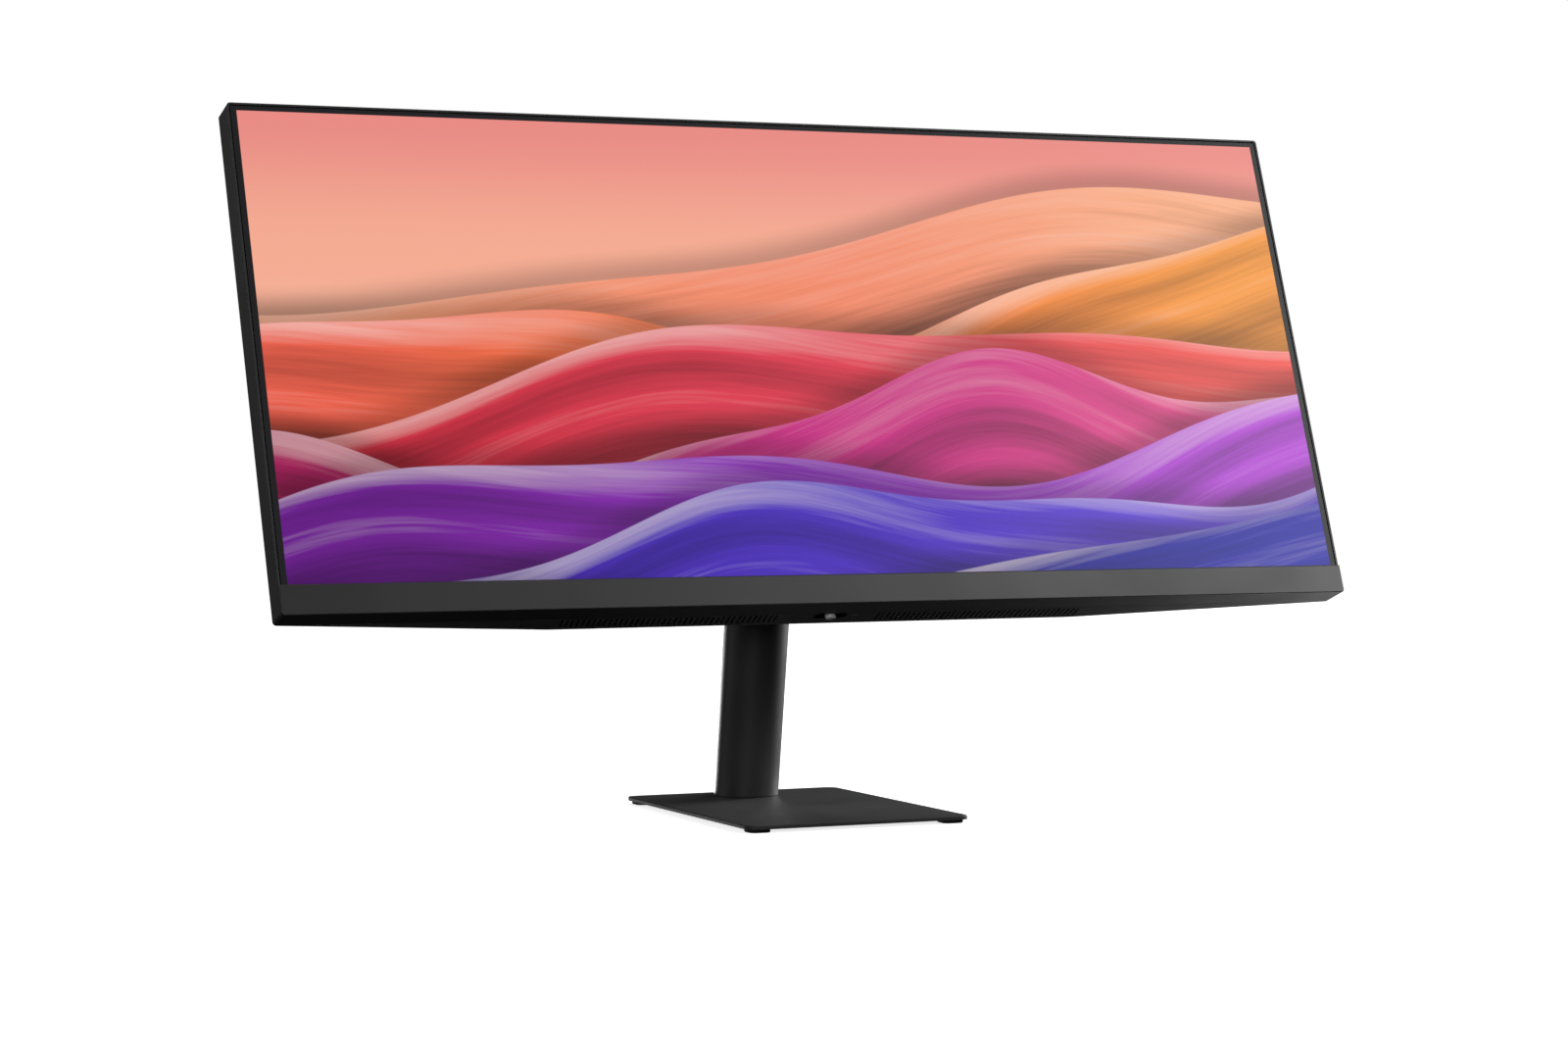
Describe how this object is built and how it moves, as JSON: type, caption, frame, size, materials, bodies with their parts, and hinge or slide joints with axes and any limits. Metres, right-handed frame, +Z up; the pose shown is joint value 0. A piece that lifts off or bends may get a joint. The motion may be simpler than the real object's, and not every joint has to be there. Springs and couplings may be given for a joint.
{
  "type": "computer monitor",
  "caption": "Wide flat desktop monitor on a forward-leaning round column and a thin rectangular base, tipped back to its stop.",
  "frame": {"origin": "on the table, under the middle of the base plate", "axes": "+X to the viewer's right along the screen, +Y away from the viewer, +Z up"},
  "size_m": [0.8126, 0.2254, 0.4963],
  "materials": {
    "housing": "fine moulded texture",
    "chin": "very fine satin texture",
    "base_paint": "satin powder coat",
    "column_paint": "satin",
    "rubber": "matte",
    "screen": "anti-glare, lit picture",
    "film": "diffusing",
    "acrylic": "clear",
    "led_strip": "white strip",
    "sheet_steel": "zinc coated",
    "circuit_board": "solder mask",
    "flat_cable": "flat flex",
    "brass": "turned",
    "socket_metal": "plated shell",
    "black_plastic": "moulded",
    "cast_metal": "die cast",
    "hinge_steel": "machined",
    "black_screws": "black zinc",
    "bracket_paint": "satin black",
    "plated_steel": "nickel plated",
    "gloss_black": "gloss",
    "knob": "silver paint",
    "lens": "translucent"
  },
  "bodies": {
    "stand": {"base_plate": "base_paint", "base_feet": "rubber", "column_tube": "column_paint", "column_gasket": "rubber", "column_core": "cast_metal", "hinge_yoke": "hinge_steel", "yoke_screws": "black_screws", "hinge_shaft": "hinge_steel", "friction_washers": "hinge_steel", "hinge_nuts": "hinge_steel", "hinge_cover": "housing"},
    "thumb_screw": {"thumb_screw": "plated_steel"},
    "bail": {"thumb_screw_bail": "plated_steel"},
    "display": {"outer_frame": "housing", "bottom_bezel": "chin", "lcd_panel": "screen", "optical_films": "film", "light_guide": "acrylic", "reflector_sheet": "film", "led_bar": "led_strip", "panel_pan": "sheet_steel", "source_board": "circuit_board", "flat_cable": "flat_cable", "board_carrier": "sheet_steel", "board_standoffs": "brass", "main_board": "circuit_board", "hdmi_ports": "socket_metal", "display_port": "socket_metal", "dc_jack": "black_plastic", "audio_jack": "black_plastic", "vesa_bracket": "sheet_steel", "vesa_inserts": "brass", "rear_cover": "housing", "vent_grille_left": "housing", "vent_grille_right": "housing", "vent_grille_top": "housing", "cover_screws": "black_screws", "lock_slot_plate": "sheet_steel", "indicator_lens": "lens", "tilt_bracket": "bracket_paint", "stand_screws": "black_screws", "joystick_bezel": "gloss_black", "joystick_switch": "black_plastic", "joystick_board": "circuit_board"},
    "joystick_ring": {"joystick_gimbal": "black_plastic"},
    "joystick_block": {"joystick_rocker": "black_plastic"},
    "joystick_knob": {"joystick_knob": "knob"}
  },
  "joints": [
    {"name": "display_tilt", "type": "hinge", "parent": "stand", "child": "display", "pos_m": [0, 0.04298, 0.2773], "axis": [1, 0, 0], "range_deg": [0, 25]},
    {"name": "thumb_screw_turn", "type": "hinge", "parent": "stand", "child": "thumb_screw", "pos_m": [0, 0.0846, 0.0015], "axis": [0, 0, 1], "continuous": true},
    {"name": "bail_fold", "type": "hinge", "parent": "thumb_screw", "child": "bail", "pos_m": [0, 0.0846, 0.0015], "axis": [1, 0, 0], "range_deg": [0, 90]},
    {"name": "joystick_fore_aft", "type": "hinge", "parent": "display", "child": "joystick_ring", "pos_m": [0, -0.05722, 0.15669], "axis": [1, 0, 0], "range_deg": [-6, 6], "stiffness_Nm_per_rad": 0.03},
    {"name": "joystick_sideways", "type": "hinge", "parent": "joystick_ring", "child": "joystick_block", "pos_m": [0, -0.05722, 0.15669], "axis": [0, 0.9397, -0.342], "range_deg": [-6, 6], "stiffness_Nm_per_rad": 0.03},
    {"name": "joystick_press", "type": "slide", "parent": "joystick_block", "child": "joystick_knob", "axis": [0, 0.342, 0.9397], "range_m": [0, 0.0008], "stiffness_N_per_m": 400}
  ]
}
